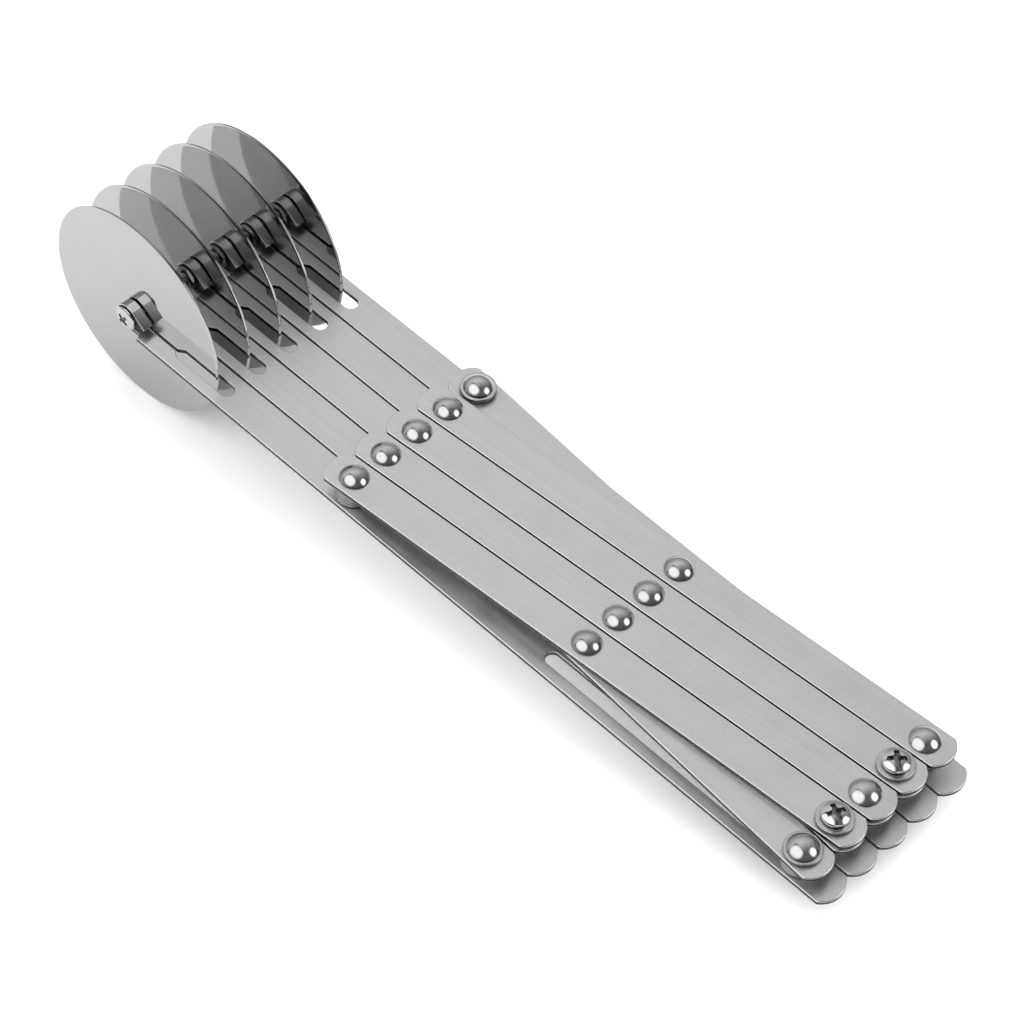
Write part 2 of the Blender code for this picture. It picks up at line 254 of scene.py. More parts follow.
def sheet(loops, z):
    """Strip metal from an outline and its holes, its faces numbered FLAT, EDGE_FACE and SIDE."""
    bm = bmesh.new()
    caps = ([], [])
    for loop in loops:
        rings = []
        for side, up in rim_profile(STRIP):
            rings.append([bm.verts.new((p.x, p.y, z + up)) for p in inset(loop, side)])
        for level, (lower, upper) in enumerate(zip(rings, rings[1:])):
            for i in range(len(loop)):
                face = bm.faces.new((lower[i - 1], lower[i], upper[i], upper[i - 1]))
                face.material_index = SIDE if level == EDGE_STEPS else EDGE_FACE
        for cap, ring in zip(caps, (rings[0], rings[-1])):
            cap += [bm.edges.get((ring[i - 1], ring[i])) for i in range(len(ring))]
    for cap in caps:
        bmesh.ops.triangle_fill(bm, use_beauty=True, use_dissolve=False, edges=cap)
    bmesh.ops.recalc_face_normals(bm, faces=bm.faces)
    return bm


def slice_prongs(bm, places):
    """Cut the strip across at each place, with whole slices beyond the first, ready to be rolled."""
    for y in places:
        everything = bm.verts[:] + bm.edges[:] + bm.faces[:]
        plane = {"plane_co": (0, y, 0), "plane_no": (0, 1, 0)}
        bmesh.ops.bisect_plane(bm, geom=everything, dist=SAME_PLACE, **plane)
    for face in bm.faces:
        if face.material_index == FLAT and face.calc_center_median().y > places[0]:
            face.material_index = ROLL
    slanted = [e for e in bm.edges if abs(e.verts[0].co.y - e.verts[1].co.y) > SAME_PLACE]
    inner = [e for e in slanted if all(f.material_index == ROLL for f in e.link_faces)]
    bmesh.ops.dissolve_edges(bm, edges=inner, use_verts=True)


def link_sheet():
    """Crossing link along Y about its middle pivot, lying on z = 0."""
    centre = LINK_PIVOTS / 2 + LINK_OVERHANG - END_RADIUS
    quarter = math.pi / 2
    outline = arc(0, centre, END_RADIUS, quarter - END_SPREAD, quarter + END_SPREAD)
    outline += arc(0, -centre, END_RADIUS, 3 * quarter - END_SPREAD, 3 * quarter + END_SPREAD)
    return sheet([outline] + [hole(y) for y in (LINK_PIVOTS / 2, 0, -LINK_PIVOTS / 2)], 0)


def bar_sheet():
    """Wheel bar about its front pivot: fork, pin slot, and prongs rolled up over the axle."""
    neutral = AXLE_ABOVE + STRIP / 2
    eye = neutral * EYE_TURN
    tip = AXLE_AHEAD + eye + EYE_LIP
    rear_centre = -(REACH + BAR_TAIL - END_RADIUS)
    quarter = math.pi / 2
    side = arc(0, rear_centre, END_RADIUS, 3 * quarter, 3 * quarter + END_SPREAD)
    side += [
        (HALF, AXLE_AHEAD - SHOULDER_AT - SHOULDER_LENGTH),
        (EYE_OUTSIDE, AXLE_AHEAD - SHOULDER_AT),
        (EYE_OUTSIDE, tip),
        (FORK_NARROW, tip),
        (FORK_NARROW, AXLE_AHEAD - FORK_STEP_AT),
        (FORK_WIDE, AXLE_AHEAD - FORK_STEP_AT - FORK_STEP_LENGTH),
    ]
    side += arc(0, AXLE_AHEAD - FORK_DEPTH + FORK_WIDE, FORK_WIDE, 2 * math.pi, 3 * quarter)
    other_side = [(-x, y) for x, y in reversed(side[1:-1])]
    half = PIN_SLOT_HALF
    slot_end = -(REACH + PIN_SLOT_SPARE)
    slot = arc(0, slot_end + half, half, 2 * math.pi, math.pi)
    slot += arc(0, -PIN_SLOT_START - half, half, math.pi, 0)
    bm = sheet([side + other_side, hole(0), slot], BAR_BOTTOM)
    slice_prongs(bm, [AXLE_AHEAD + eye * i / EYE_CUTS for i in range(EYE_CUTS + 1)])
    for v in bm.verts:
        run = v.co.y - AXLE_AHEAD
        if run > 0:
            turn = min(run / neutral, EYE_TURN)
            spare, radius = run - turn * neutral, AXLE_ABOVE - v.co.z
            v.co.y = AXLE_AHEAD + spare * math.cos(turn) + radius * math.sin(turn)
            v.co.z = AXLE_ABOVE + spare * math.sin(turn) - radius * math.cos(turn)
    return bm


def soften(profile, radius, steps=3):
    """Round the inner corners of an open profile, each by at most CORNER_SHARE of its sides."""
    points = [Vector(p) for p in profile]
    soft = [points[0]]
    for before, corner, after in zip(points, points[1:], points[2:]):
        back, ahead = before - corner, after - corner
        cut = min(radius, back.length * CORNER_SHARE, ahead.length * CORNER_SHARE)
        start, end = corner + back.normalized() * cut, corner + ahead.normalized() * cut
        for i in range(steps + 1):
            t = i / steps
            soft.append(start * (1 - t) ** 2 + corner * 2 * t * (1 - t) + end * t ** 2)
    return soft + [points[-1]]


def join_rings(bm, upper, lower):
    """Wall between two rings, either of which may be a single vertex."""
    count = max(len(upper), len(lower))
    for i in range(count):
        j = (i + 1) % count
        corners = [upper[i % len(upper)], upper[j % len(upper)]]
        corners += [lower[j % len(lower)], lower[i % len(lower)]]
        bm.faces.new(list(dict.fromkeys(corners)))


def turn_profile(bm, profile, steps, closed=False):
    """Turn (radius, z) points about Z; a closed profile makes a ring."""
    rings = []
    for radius, z in profile:
        count = steps if radius else 1
        turns = [2 * math.pi * i / steps for i in range(count)]
        rings.append([bm.verts.new((radius * math.cos(a), radius * math.sin(a), z)) for a in turns])
    for upper, lower in zip(rings, rings[1:]):
        join_rings(bm, upper, lower)
    if closed:
        join_rings(bm, rings[-1], rings[0])


def ring_solid(bm, inner, outer, bottom, top, round_by):
    """Flat ring with rounded corners."""
    start = (inner, (top + bottom) / 2)
    corners = [start, (inner, top), (outer, top), (outer, bottom), (inner, bottom), start]
    turn_profile(bm, soften(corners, round_by)[:-1], ROUND_STEPS, closed=True)


def washers(z, height, count):
    """Stack of flat washers standing on z; their upright rims take material 1, a darker steel that is
    painted shade down the stack's sides.
    """
    bm = bmesh.new()
    each = height / count
    play = each * WASHER_PLAY
    for i in range(count):
        low = z + i * each
        ring_solid(bm, PIN_HOLE, WASHER_RADIUS, low + play, low + each - play, WASHER_ROUND)
    for face in bm.faces:
        face.normal_update()
        face.material_index = int(abs(face.normal.z) < RIM_SLOPE)
    return bm


def dome(radius, height, seat, steps):
    """Profile of a domed head, crown first, down to its seat."""
    sphere = (radius ** 2 + height ** 2) / (2 * height)
    widest = math.asin(radius / sphere)
    turns = [widest * i / steps for i in range(steps + 1)]
    return [(sphere * math.sin(a), seat + height - sphere * (1 - math.cos(a))) for a in turns]


def rivet(radius, height, seat, foot, tail_radius):
    """Round-head rivet, head on height seat, flattened tail under height foot."""
    head = dome(radius, height, seat, DOME_STEPS)
    skirt = seat - HEAD_SKIRT
    end = foot - TAIL_HEIGHT
    rest = [head[-1], (radius - HEAD_UNDERCUT, skirt), (SHANK, skirt), (SHANK, foot)]
    rest += [(tail_radius, foot), (tail_radius * TAIL_TAPER, end), (0, end)]
    bm = bmesh.new()
    turn_profile(bm, head[:-1] + [tuple(p) for p in soften(rest, RIVET_ROUND)], ROUND_STEPS)
    return bm


def cross_ring(bm, arm, scale, z):
    """One level of a cross recess, its arms' ends rounded and its inner corners cut back.

    Deeper levels have a smaller scale, which shortens the arms more than it narrows them.
    """
    half = CROSS_HALF * arm / CROSS_ARM * (0.55 + 0.45 * scale)
    arm = arm * scale
    blunt, end, back = arm * 0.93, half * 0.6, half * 1.5
    outline = ((blunt, -half), (arm, -end), (arm, end), (blunt, half), (back, half), (half, back))
    ring = []
    for quarter in range(4):
        turn = Matrix.Rotation(quarter * math.pi / 2, 2)
        ring += [turn @ Vector(p) for p in outline]
    return [bm.verts.new((p.x, p.y, z)) for p in ring]


def cut_out(bm, cutter):
    """Mesh of one solid less another."""
    pair = []
    for source in (bm, cutter):
        bmesh.ops.recalc_face_normals(source, faces=source.faces)
        mesh = bpy.data.meshes.new("shape")
        source.to_mesh(mesh)
        source.free()
        pair.append(bpy.data.objects.new("shape", mesh))
        bpy.context.scene.collection.objects.link(pair[-1])
    tool = pair[0].modifiers.new("Cut", "BOOLEAN")
    tool.operation, tool.solver, tool.object = "DIFFERENCE", "EXACT", pair[1]
    seen = pair[0].evaluated_get(bpy.context.evaluated_depsgraph_get())
    result = bmesh.new()
    result.from_mesh(seen.to_mesh())
    for obj in pair:
        bpy.data.objects.remove(obj)
    return result


def cross_screw(seat, height, tip, crown, arm):
    """Pan-head screw, head on height seat, end at height tip; the cross recess takes material 1, a darker
    steel that is painted shade.
    """
    top = seat + height
    shoulder = SCREW_RADIUS * SCREW_SHOULDER
    head = dome(shoulder, crown, top - crown, SCREW_DOME_STEPS)
    widest = (SCREW_RADIUS, seat + (height - crown) * SCREW_WIDEST_AT)
    rest = [head[-1], widest, (SCREW_RADIUS * SCREW_SEAT, seat), (SHANK, seat)]
    rest += [(SHANK, tip + SCREW_POINT), (SHANK * SCREW_TIP, tip), (0, tip)]
    bm = bmesh.new()
    turn_profile(bm, head[:-1] + [tuple(p) for p in soften(rest, SCREW_ROUND, 4)], ROUND_STEPS)
    cutter = bmesh.new()
    depth = CROSS_DEPTH * height
    # The recess's size and height at each level, from over the crown down to its floor.
    levels = ((1.06, 0.3 * depth), (1.0, -crown * 0.5), (0.86, -0.75 * depth), (0.5, -depth))
    rings = [cross_ring(cutter, arm, scale, top + z) for scale, z in levels]
    for upper, lower in zip(rings, rings[1:]):
        join_rings(cutter, upper, lower)
    cutter.faces.new(rings[0])
    cutter.faces.new(rings[-1])
    result = cut_out(bm, cutter)
    sphere = (shoulder ** 2 + crown ** 2) / (2 * crown)
    for face in result.faces:
        middle = face.calc_center_median()
        across = middle.xy.length
        surface = top - sphere + math.sqrt(sphere ** 2 - min(across, shoulder) ** 2)
        sunk = seat < middle.z < surface - RECESS_MARGIN
        # Faces sunk inside the cross take material 1, the painted shade of the recess.
        face.material_index = int(sunk and across < arm * 1.02)
    return result


def hex_part(bm, top, height, half, chamfer_top=True):
    """Hexagon prism with a hole and turned-off corners."""
    flat = half * NUT_FLAT
    slope = math.tan(NUT_CHAMFER)
    wider = PIN_HOLE + NUT_HOLE_CHAMFER

    def ring(radius, z):
        return [bm.verts.new((radius * math.cos(a), radius * math.sin(a), z)) for a in turns]

    def corners(z, sign, on):
        made = []
        for a in turns:
            r = half / math.cos((a + math.pi / 6) % (math.pi / 3) - math.pi / 6)
            drop = (r - flat) * slope if on else 0
            made.append(bm.verts.new((r * math.cos(a), r * math.sin(a), z + sign * drop)))
        return made

    turns = [2 * math.pi * i / ROUND_STEPS for i in range(ROUND_STEPS)]
    bottom = top - height
    rings = [
        ring(PIN_HOLE, top - NUT_HOLE_CHAMFER),
        ring(wider, top),
        ring(flat, top),
        corners(top, -1, chamfer_top),
        corners(bottom, 1, True),
        ring(flat, bottom),
        ring(wider, bottom),
        ring(PIN_HOLE, bottom + NUT_HOLE_CHAMFER),
    ]
    for upper, lower in zip(rings, rings[1:] + rings[:1]):
        join_rings(bm, upper, lower)


def lock_nut(top):
    """Flange, hexagon and round locking collar."""
    bm = bmesh.new()
    flange = top - LOCK_NUT_FLANGE
    foot = flange - LOCK_NUT_HEX
    ring_solid(bm, PIN_HOLE, WASHER_RADIUS, flange, top, LOCK_NUT_FLANGE_ROUND)
    hex_part(bm, flange, LOCK_NUT_HEX, LOCK_NUT_HALF, chamfer_top=False)
    end = foot - LOCK_NUT_COLLAR
    ring_solid(bm, PIN_HOLE, LOCK_NUT_COLLAR_RADIUS, end, foot, LOCK_NUT_COLLAR_ROUND)
    return bm


def blade():
    """Round blade about Z with a ground rim and a pressed hub hole."""
    rim = BLADE_RADIUS - BLADE_BEVEL
    side = [
        (PIN_HOLE, 0),
        (PIN_HOLE, BLADE_HALF - BLADE_HOLE_ROUND),
        (PIN_HOLE + BLADE_HOLE_ROUND, BLADE_HALF),
        (rim - BLADE_BEVEL_ROUND, BLADE_HALF),
        (rim + BLADE_BEVEL_ROUND, BLADE_HALF - 0.00003),
        (BLADE_RADIUS - 0.00008, BLADE_EDGE_HALF + 0.00003),
        (BLADE_RADIUS, BLADE_EDGE_HALF * 0.4),
    ]
    other = [(radius, -z) for radius, z in reversed(side[1:])]
    bm = bmesh.new()
    turn_profile(bm, side + other, BLADE_STEPS, closed=True)
    return bm


# ---------------------------------------------------------------- materials

# Cycles per metre along a piece's own axes.
CLOUDS = (90, 90, 90)
SPECKLE = (2600, 2600, 2600)
SCRATCHES = (2000, 22, 22)

# Each layer of scratches: its angle and what it adds to the seed.
SCRATCH_LAYERS = ((0.05, 3.0), (-0.08, 11.0))
SCRATCH_LEVELS = (0.66, 0.76)
SCRATCH_ROUGHNESS = 0.12
SEED_SPREAD = 40.0
BLUE_SHARE = 1.004
CLOUD_ROUGHNESS = 0.12
LINE_ROUGHNESS = 0.08
SPECKLE_HEIGHT = 0.15


def node(tree, kind, sockets=None, **settings):
    """New node; a socket's value may be another node's output."""
    made = tree.nodes.new(kind)
    for key, value in settings.items():
        setattr(made, key, value)
    for key, value in (sockets or {}).items():
        if isinstance(value, bpy.types.NodeSocket):
            tree.links.new(value, made.inputs[key])
        else:
            made.inputs[key].default_value = value
    return made


def math_node(tree, operation, a, b=0.0):
    return node(tree, "ShaderNodeMath", {0: a, 1: b}, operation=operation).outputs[0]


def noise(tree, vector, stretch, seed, detail):
    """Noise over coordinates stretched by so many cycles per metre."""
    scaled = node(tree, "ShaderNodeVectorMath", {0: vector, 1: stretch}, operation="MULTIPLY").outputs[0]
    sockets = {"Vector": scaled, "W": seed, "Scale": 1.0, "Detail": detail}
    return node(tree, "ShaderNodeTexNoise", sockets, noise_dimensions="4D").outputs["Fac"]


def spread(tree, value, low, high, from_low=0.3, from_high=0.7):
    """Noise value stretched to a range."""
    sockets = {"Value": value, "From Min": from_low, "From Max": from_high, "To Min": low, "To Max": high}
    return node(tree, "ShaderNodeMapRange", sockets).outputs["Result"]


def steel(name, grey, roughness, grain, grain_depth, uneven, scratches=0.0, anisotropy=0.0, turned=False):
    """Bare stainless steel.

    grain is cycles per metre along the piece's own axes and grain_depth its height in metres; turned
    steel has its grain in circles about Z, and grain is then cycles outwards and upwards.
    """
    mat = bpy.data.materials.new(name)
    mat.use_nodes = True
    tree = mat.node_tree
    shader = tree.nodes["Principled BSDF"]
    place = node(tree, "ShaderNodeTexCoord").outputs["Object"]
    seed = math_node(tree, "MULTIPLY", node(tree, "ShaderNodeObjectInfo").outputs["Random"], SEED_SPREAD)
    lines_at = place
    if turned:
        parts = node(tree, "ShaderNodeSeparateXYZ", {0: place}).outputs
        squares = [math_node(tree, "MULTIPLY", parts[axis], parts[axis]) for axis in "XY"]
        radius = math_node(tree, "SQRT", math_node(tree, "ADD", *squares))
        lines_at = node(tree, "ShaderNodeCombineXYZ", {0: radius, 1: parts["Z"]}).outputs[0]
    lines = noise(tree, lines_at, grain, seed, 4.0)
    clouds = noise(tree, place, CLOUDS, seed, 3.0)
    fine = noise(tree, place, SPECKLE, seed, 2.0)
    tones = [spread(tree, part, -uneven, uneven) for part in (lines, clouds, fine)]
    tone = math_node(tree, "ADD", math_node(tree, "ADD", *tones[:2]), tones[2])
    level = math_node(tree, "ADD", tone, grey)
    blue = math_node(tree, "MULTIPLY", level, BLUE_SHARE)
    colour = node(tree, "ShaderNodeCombineColor", {0: level, 1: level, 2: blue})
    tree.links.new(colour.outputs[0], shader.inputs["Base Color"])
    shader.inputs["Metallic"].default_value = 1.0
    cloudy = spread(tree, clouds, roughness * (1 - CLOUD_ROUGHNESS), roughness * (1 + CLOUD_ROUGHNESS))
    lined = spread(tree, lines, -roughness * LINE_ROUGHNESS, roughness * LINE_ROUGHNESS)
    rough = math_node(tree, "ADD", cloudy, lined)
    height = math_node(tree, "ADD", lines, math_node(tree, "MULTIPLY", fine, SPECKLE_HEIGHT))
    if scratches:
        for angle, offset in SCRATCH_LAYERS:
            sockets = {"Vector": place, "Angle": angle}
            slanted = node(tree, "ShaderNodeVectorRotate", sockets, rotation_type="Z_AXIS").outputs[0]
            hair = noise(tree, slanted, SCRATCHES, math_node(tree, "ADD", seed, offset), 1.0)
            mark = spread(tree, hair, 0.0, scratches, *SCRATCH_LEVELS)
            rough = math_node(tree, "ADD", rough, math_node(tree, "MULTIPLY", mark, SCRATCH_ROUGHNESS))
            height = math_node(tree, "SUBTRACT", height, mark)
    tree.links.new(rough, shader.inputs["Roughness"])
    bump = node(tree, "ShaderNodeBump", {"Height": height, "Distance": grain_depth, "Strength": 1.0})
    tree.links.new(bump.outputs["Normal"], shader.inputs["Normal"])
    if anisotropy:
        shader.inputs["Anisotropic"].default_value = anisotropy
        to_world = {"vector_type": "VECTOR", "convert_from": "OBJECT", "convert_to": "WORLD"}
        across = node(tree, "ShaderNodeVectorTransform", {0: (1, 0, 0)}, **to_world)
        tree.links.new(across.outputs[0], shader.inputs["Tangent"])
    return mat


BRUSHED = steel(
    "brushed_strip", 0.71, 0.40, (1300, 9, 9), 3.2e-6, uneven=0.032, scratches=0.4, anisotropy=0.55
)
# The rolled eyes are a smoother steel from forming, and their darker colour is painted shade for the eyes'
# dark lips.
ROLLED = steel("rolled_eye", 0.55, 0.10, (1300, 12, 12), 1.0e-6, uneven=0.04, scratches=0.15)
# The rounded strip edges are a smoother steel, and their lighter colour is a painted highlight along the
# edges.
EDGE = steel("strip_edge_painted_highlight", 0.80, 0.20, (900, 60, 900), 1.5e-6, uneven=0.03)
# The strips' cut sides are painted near black: painted shade in the narrow gaps between the strips and
# under their ends.
SIDE_SHADE = steel("strip_side_painted_shade", 0.09, 0.45, (500, 500, 2500), 6e-6, uneven=0.03)
POLISHED = steel("polished_pin", 0.58, 0.17, (1400, 1400, 1400), 5e-7, uneven=0.025, scratches=0.2)
PLATED = steel("turned_washer", 0.56, 0.20, (2200, 400, 0), 1.2e-6, uneven=0.04, turned=True)
# Washer rims are rougher than their faces, and their much darker colour is painted shade down the sides of
# the washer stacks.
RIM_SHADE = steel("washer_rim_painted_shade", 0.22, 0.34, (600, 600, 2500), 3e-6, uneven=0.04)
SCREW = steel("bright_screw", 0.66, 0.15, (2000, 500, 0), 8e-7, uneven=0.04, turned=True)
# The cross recesses are a darker steel than the screw heads: painted shade inside the recess.
RECESS_SHADE = steel("recess_painted_shade", 0.22, 0.30, (900, 900, 900), 4e-6, uneven=0.02)
NUT = steel("hexagon_nut", 0.50, 0.26, (1200, 1200, 1200), 3e-6, uneven=0.04)
MIRROR = steel("mirror_blade", 0.58, 0.045, (1600, 300, 0), 1.2e-7, uneven=0.008, turned=True)
STRIP_MATERIALS = (BRUSHED, EDGE, SIDE_SHADE)  # in the order of FLAT, EDGE_FACE and SIDE


# ---------------------------------------------------------------- pieces

meshes = {}


def shared_mesh(key, build, *slot_materials):
    """Mesh of one kind of piece, built once."""
    if key not in meshes:
        bm = build()
        bmesh.ops.recalc_face_normals(bm, faces=bm.faces)
        mesh = bpy.data.meshes.new(key)
        bm.to_mesh(mesh)
        bm.free()
        mesh.shade_smooth()
        mesh.set_sharp_from_angle(angle=SHARP_ANGLE)
        for slot_material in slot_materials:
            mesh.materials.append(slot_material)
        meshes[key] = mesh
    return meshes[key]


def add(name, mesh, node_name, at, turn=Matrix.Identity(4)):
    """One visible piece in place of a frame node, riding on that node's body."""
    obj = bpy.data.objects.new(name, mesh)
    bpy.context.scene.collection.objects.link(obj)
    normals = obj.modifiers.new("Normals", "WEIGHTED_NORMAL")
    normals.keep_sharp = True
    obj.matrix_world = TOOL @ Matrix.Translation(at) @ turn
    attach(obj, body_of[node_name])
    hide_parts(node_name)


def about_z(degrees):
    return Matrix.Rotation(math.radians(degrees), 4, "Z")


ACROSS = Matrix.Rotation(-math.pi / 2, 4, "Y")
UPRIGHT = TOOL.to_3x3().inverted().to_4x4() @ ACROSS


def spacer():
    """Washers between a bar and its lower link."""
    return shared_mesh("stack", lambda: washers(GAP, SPACER_HEIGHT, STACK_COUNT), PLATED, RIM_SHADE)


def tall_spacer():
    """Washers up to the upper link, where there is no lower link."""
    return shared_mesh("tall_stack", lambda: washers(GAP, UPPER_Z - 2 * GAP, TALL_STACK_COUNT), PLATED, RIM_SHADE)


def tall_rivet(foot):
    """Rivet through the upper link, down to height foot."""
    return rivet(RIVET_RADIUS, RIVET_HEIGHT, UPPER_TOP + GAP, foot, TAIL_RADIUS)


def rear_rivet(seat):
    """Rivet from height seat down through the bar."""
    return rivet(REAR_RIVET_RADIUS, REAR_RIVET_HEIGHT, seat, BAR_BOTTOM - GAP, REAR_TAIL_RADIUS)


def axle_bolt():
    """Small screw across the fork, its head outside the eye."""
    return cross_screw(EYE_OUTSIDE + GAP, AXLE_HEAD_HEIGHT, -HALF, AXLE_CROWN, AXLE_CROSS_ARM)


def axle_nut():
    """Thin nut on the other side of the fork."""
    bm = bmesh.new()
    hex_part(bm, -(EYE_OUTSIDE + GAP), AXLE_NUT_HEIGHT, AXLE_NUT_HALF)
    return bm


def clamp_screw(seat):
    """Pan-head screw from height seat down through the bar and its lock nut."""
    return cross_screw(seat, LOCK_HEAD_HEIGHT, -LOCK_SCREW_TIP, LOCK_CROWN, CROSS_ARM)


def fastener(name, mesh, node_name, at, turn=Matrix.Identity(4)):
    add(name, mesh, node_name, at, turn)


def build_wheel_group(column):
    """Bar, blade and axle of one column, with the pin at the bar's front pivot."""
    n = str(column)
    at, axle = FRONT[column], AXLE[column]
    bar = shared_mesh("fork_bar", bar_sheet, *STRIP_MATERIALS, ROLLED)
    add("fork_bar_" + n, bar, "wheel_bar_" + n, at)
    stack = tall_spacer() if column == 1 else spacer()
    fastener("front_stack_" + n, stack, "front_spacer_" + n, at)
    if column == 5:
        cap = shared_mesh("cap_ring", lambda: washers(UPPER_Z, STRIP, 1), PLATED, RIM_SHADE)
        fastener("front_cap_ring_" + n, cap, "front_cap_washer_" + n, at)
    pin = shared_mesh("front_pin", lambda: tall_rivet(BAR_BOTTOM - GAP), POLISHED)
    fastener("front_pin_" + n, pin, "front_rivet_" + n, at, about_z(FRONT_PIN_TURN * column))
    bolt = shared_mesh("axle_bolt", axle_bolt, SCREW, RECESS_SHADE)
    turn = ACROSS @ about_z(AXLE_SCREW_START + AXLE_SCREW_TURN * column)
    fastener("axle_bolt_" + n, bolt, "axle_screw_" + n, axle, turn)
    nut = shared_mesh("axle_hex", axle_nut, NUT)
    fastener("axle_hex_" + n, nut, "axle_nut_" + n, axle, ACROSS @ about_z(AXLE_NUT_TURN * column))
    disc = shared_mesh("blade", blade, MIRROR)
    add("blade_" + n, disc, "cutting_wheel_" + n, axle, UPRIGHT)


def build_links(index):
    """Two crossing links and the rivet through them."""
    n = str(index)
    at = CROSS[index]
    link = shared_mesh("link", link_sheet, *STRIP_MATERIALS)
    lean = math.degrees(LEAN)
    for level, z, turn in (("upper", UPPER_Z, lean), ("lower", LOWER_Z, 180 - lean)):
        place = at + Vector((0, 0, z))
        add(f"{level}_link_strip_{n}", link, f"{level}_link_{n}", place, about_z(turn))
    pin = shared_mesh("cross_pin", lambda: tall_rivet(LOWER_Z - GAP), POLISHED)
    fastener("cross_pin_" + n, pin, "cross_rivet_" + n, at, about_z(CROSS_PIN_TURN * index))


def build_rear_pin(column):
    """Pin in the bar's slot: a rivet on odd columns, a screw and lock nut on even ones."""
    n = str(column)
    at = REAR[column]
    stack = tall_spacer() if column == 5 else spacer()
    fastener("rear_stack_" + n, stack, "rear_spacer_" + n, at)
    seat = (LOWER_TOP if column == 1 else UPPER_TOP) + GAP
    if column in (1, 2, 4):
        ring = shared_mesh(f"head_ring_{column == 1}", lambda: washers(seat, WASHER_HEIGHT, 1), PLATED, RIM_SHADE)
        fastener("rear_ring_" + n, ring, "rear_washer_" + n, at)
        seat += WASHER_HEIGHT + GAP
    if column % 2:
        pin = shared_mesh(f"rear_pin_{column == 1}", lambda: rear_rivet(seat), POLISHED)
        fastener("rear_pin_" + n, pin, "rear_rivet_" + n, at, about_z(REAR_PIN_TURN * column))
        return
    screw = shared_mesh("clamp_screw", lambda: clamp_screw(seat), SCREW, RECESS_SHADE)
    fastener("clamp_screw_" + n, screw, "lock_screw_" + n, at, about_z(LOCK_SCREW_TURNS[column]))
    nut = shared_mesh("clamp_nut", lambda: lock_nut(BAR_BOTTOM - GAP), NUT)
    fastener("clamp_nut_" + n, nut, "lock_nut_" + n, at, about_z(LOCK_NUT_TURN * column))


for column in COLUMNS:
    build_wheel_group(column)
    build_rear_pin(column)
for index in CROSS:
    build_links(index)


# ---------------------------------------------------------------- studio

def direction(azimuth, elevation):
    """Unit vector from the object towards a viewpoint or a lamp; azimuth 0 is the -Y side."""
    a, e = math.radians(azimuth), math.radians(elevation)
    return Vector((math.sin(a) * math.cos(e), -math.cos(a) * math.cos(e), math.sin(e)))


centre = (cad_box[0] + cad_box[1]) / 2

FLOOR_SIZE = 8.0
FLOOR_GREY = 0.8
FLOOR_SEEN = 1.15
TENT_GLOW = 1.45
TENT_SIZE = 3.0
TENT_SUNK = 0.01
PANEL_SQUARENESS = 2.5
PANEL_FADE = 0.6

# Walls: the pale side's azimuth, how far the view turns from dark to pale, and how they dim low down.
WALL_DARK = 0.15
WALL_LIGHT = 0.84
WALL_AZIMUTH = 166
WALL_TURN = (-0.3, 0.45)
WALL_LOW = 0.4
WALL_RISE = (0.2, 0.75)

# The photograph's view; the aim is measured from the middle of the object.
LENS = 125.5
SENSOR = 36
CAMERA_AZIMUTH = -45.75
CAMERA_ELEVATION = 48.15
CAMERA_DISTANCE = 0.7824
AIM = Vector((-0.0041, -0.0115, -0.0002))


def plane(name, width, height, material):
    """Flat stage piece, not part of the object."""
    bm = bmesh.new()
    x, y = width / 2, height / 2
    bm.faces.new([bm.verts.new(p) for p in ((-x, -y, 0), (x, -y, 0), (x, y, 0), (-x, y, 0))])
    mesh = bpy.data.meshes.new(name)
    bm.to_mesh(mesh)
    bm.free()
    mesh.materials.append(material)
    obj = bpy.data.objects.new(name, mesh)
    bpy.context.scene.collection.objects.link(obj)
    return obj


def stage_material(name):
    """New material without a shader, and its node tree."""
    mat = bpy.data.materials.new(name)
    mat.use_nodes = True
    mat.node_tree.nodes.remove(mat.node_tree.nodes["Principled BSDF"])
    return mat, mat.node_tree


def glow(tree, strength):
    """White emission as the material's surface."""
    made = node(tree, "ShaderNodeEmission", {"Color": (1, 1, 1, 1), "Strength": strength})
    tree.links.new(made.outputs[0], tree.nodes["Material Output"].inputs["Surface"])


def build_floor():
    """Pale floor, over-exposed to the camera as in a packshot."""
    mat, tree = stage_material("pale_floor")
    seen = node(tree, "ShaderNodeLightPath").outputs["Is Camera Ray"]
    level = spread(tree, seen, FLOOR_GREY, FLOOR_SEEN, 0.0, 1.0)
    colour = node(tree, "ShaderNodeCombineColor", {0: level, 1: level, 2: level}).outputs[0]
    matt = node(tree, "ShaderNodeBsdfDiffuse", {"Color": colour}).outputs[0]
    tree.links.new(matt, tree.nodes["Material Output"].inputs["Surface"])
    floor = plane("floor", FLOOR_SIZE, FLOOR_SIZE, mat)
    floor.location = (centre.x, centre.y, cad_box[0].z)


def softbox(name, azimuth, elevation, distance, width, height, radiance):
    """Glowing panel facing the object, fading out to its rim.  Only glossy things catch it."""
    mat, tree = stage_material(name)
    place = node(tree, "ShaderNodeTexCoord").outputs["Object"]
    at = node(tree, "ShaderNodeSeparateXYZ", {0: place}).outputs
    parts = []
    for axis, size in (("X", width), ("Y", height)):
        off = math_node(tree, "MULTIPLY", at[axis], 2 / size)
        parts.append(math_node(tree, "POWER", math_node(tree, "ABSOLUTE", off), PANEL_SQUARENESS))
    out = math_node(tree, "ADD", *parts)
    fade = {"From Min": 1 - PANEL_FADE, "From Max": 1.0, "To Min": radiance, "To Max": 0.0}
    sockets = {"Value": out, **fade}
    level = node(tree, "ShaderNodeMapRange", sockets, interpolation_type="SMOOTHSTEP")
    glow(tree, level.outputs["Result"])
    panel = plane(name, width, height, mat)
    back = direction(azimuth, elevation)
    panel.location = centre + back * distance
    panel.rotation_mode = "QUATERNION"
    panel.rotation_quaternion = back.to_track_quat("Z", "Y")
    panel.visible_camera = panel.visible_diffuse = False


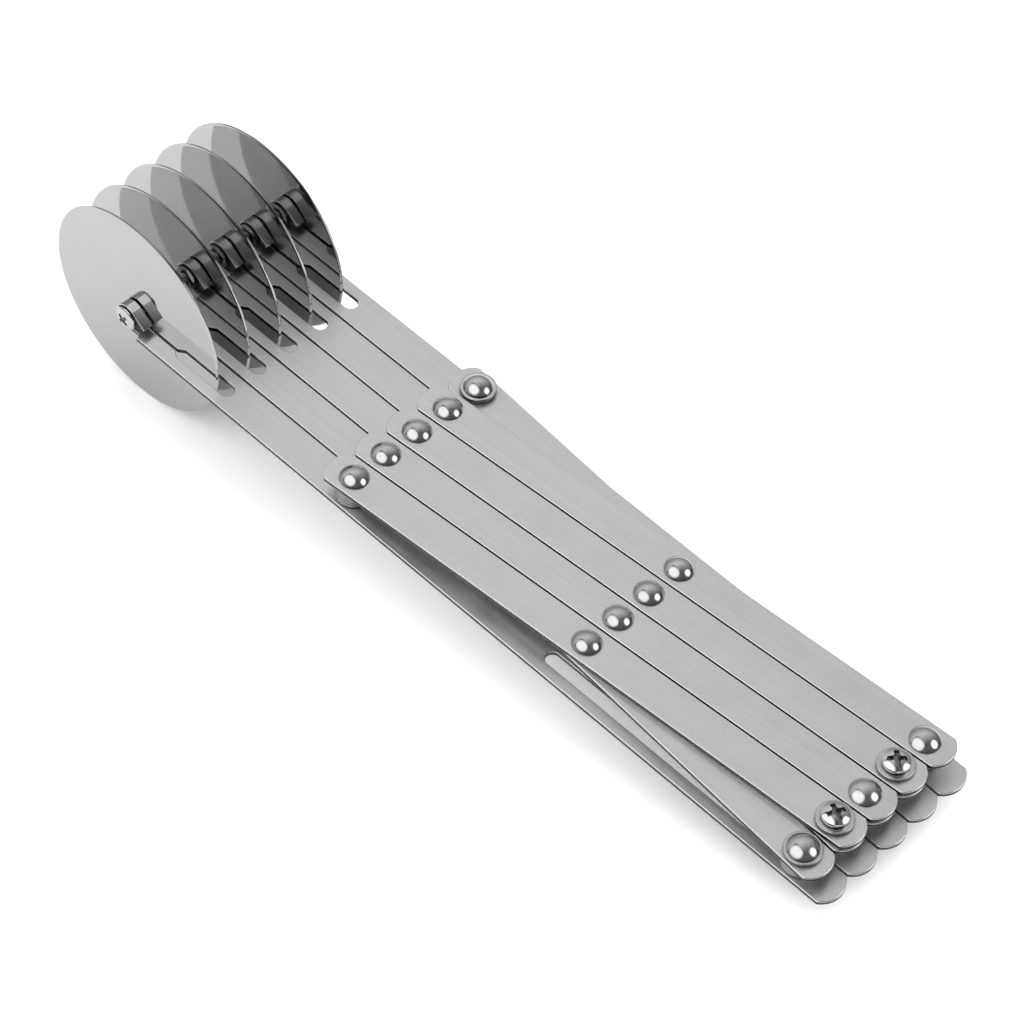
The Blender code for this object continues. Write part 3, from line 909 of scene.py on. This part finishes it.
def build_tent():
    """Glowing cloth round and over the floor.  Only matt things catch it."""
    bm = bmesh.new()
    bmesh.ops.create_cube(bm, size=TENT_SIZE)
    mesh = bpy.data.meshes.new("light_tent")
    bm.to_mesh(mesh)
    bm.free()
    mat, tree = stage_material("tent_cloth")
    glow(tree, TENT_GLOW)
    mesh.materials.append(mat)
    tent = bpy.data.objects.new("light_tent", mesh)
    bpy.context.scene.collection.objects.link(tent)
    tent.location = (centre.x, centre.y, cad_box[0].z + TENT_SIZE / 2 - TENT_SUNK)
    tent.visible_camera = tent.visible_glossy = tent.visible_shadow = False


# Sockets of a Mix node that mixes colours.
MIX_A, MIX_B, MIX_RESULT = 6, 7, 2


def build_world():
    """Studio walls: pale across from the camera, dark behind it; plain white to the camera itself."""
    world = bpy.data.worlds.new("studio")
    bpy.context.scene.world = world
    world.use_nodes = True
    tree = world.node_tree
    ground = tree.nodes["Background"]
    looking = node(tree, "ShaderNodeTexCoord").outputs["Generated"]
    sockets = {0: looking, 1: direction(WALL_AZIMUTH, 0)}
    ahead = node(tree, "ShaderNodeVectorMath", sockets, operation="DOT_PRODUCT").outputs["Value"]
    height = node(tree, "ShaderNodeSeparateXYZ", {0: looking}).outputs["Z"]
    wall = spread(tree, ahead, WALL_DARK, WALL_LIGHT, *WALL_TURN)
    grey = math_node(tree, "MULTIPLY", wall, spread(tree, height, WALL_LOW, 1.0, *WALL_RISE))
    level = node(tree, "ShaderNodeCombineColor", {0: grey, 1: grey, 2: grey}).outputs[0]
    seen = node(tree, "ShaderNodeLightPath").outputs["Is Camera Ray"]
    mix = node(tree, "ShaderNodeMix", {"Factor": seen}, data_type="RGBA")
    tree.links.new(level, mix.inputs[MIX_A])
    mix.inputs[MIX_B].default_value = (1, 1, 1, 1)
    tree.links.new(mix.outputs[MIX_RESULT], ground.inputs["Color"])
    ground.inputs["Strength"].default_value = 1.0


def build_camera():
    """Camera at the photograph's viewing angle."""
    data = bpy.data.cameras.new("camera")
    data.sensor_width = SENSOR
    data.lens = LENS
    data.clip_start, data.clip_end = 0.01, 50
    camera = bpy.data.objects.new("camera", data)
    bpy.context.scene.collection.objects.link(camera)
    back = direction(CAMERA_AZIMUTH, CAMERA_ELEVATION)
    camera.location = centre + AIM + back * CAMERA_DISTANCE
    camera.rotation_mode = "QUATERNION"
    camera.rotation_quaternion = back.to_track_quat("Z", "Y")
    bpy.context.scene.camera = camera


build_floor()
softbox("softbox_left", -100, 60, distance=0.66, width=1.06, height=0.76, radiance=1.55)
softbox("softbox_right", 32, 32, distance=0.68, width=0.46, height=0.42, radiance=2.2)
build_tent()
build_world()
build_camera()
bpy.context.scene.view_settings.view_transform = "Standard"
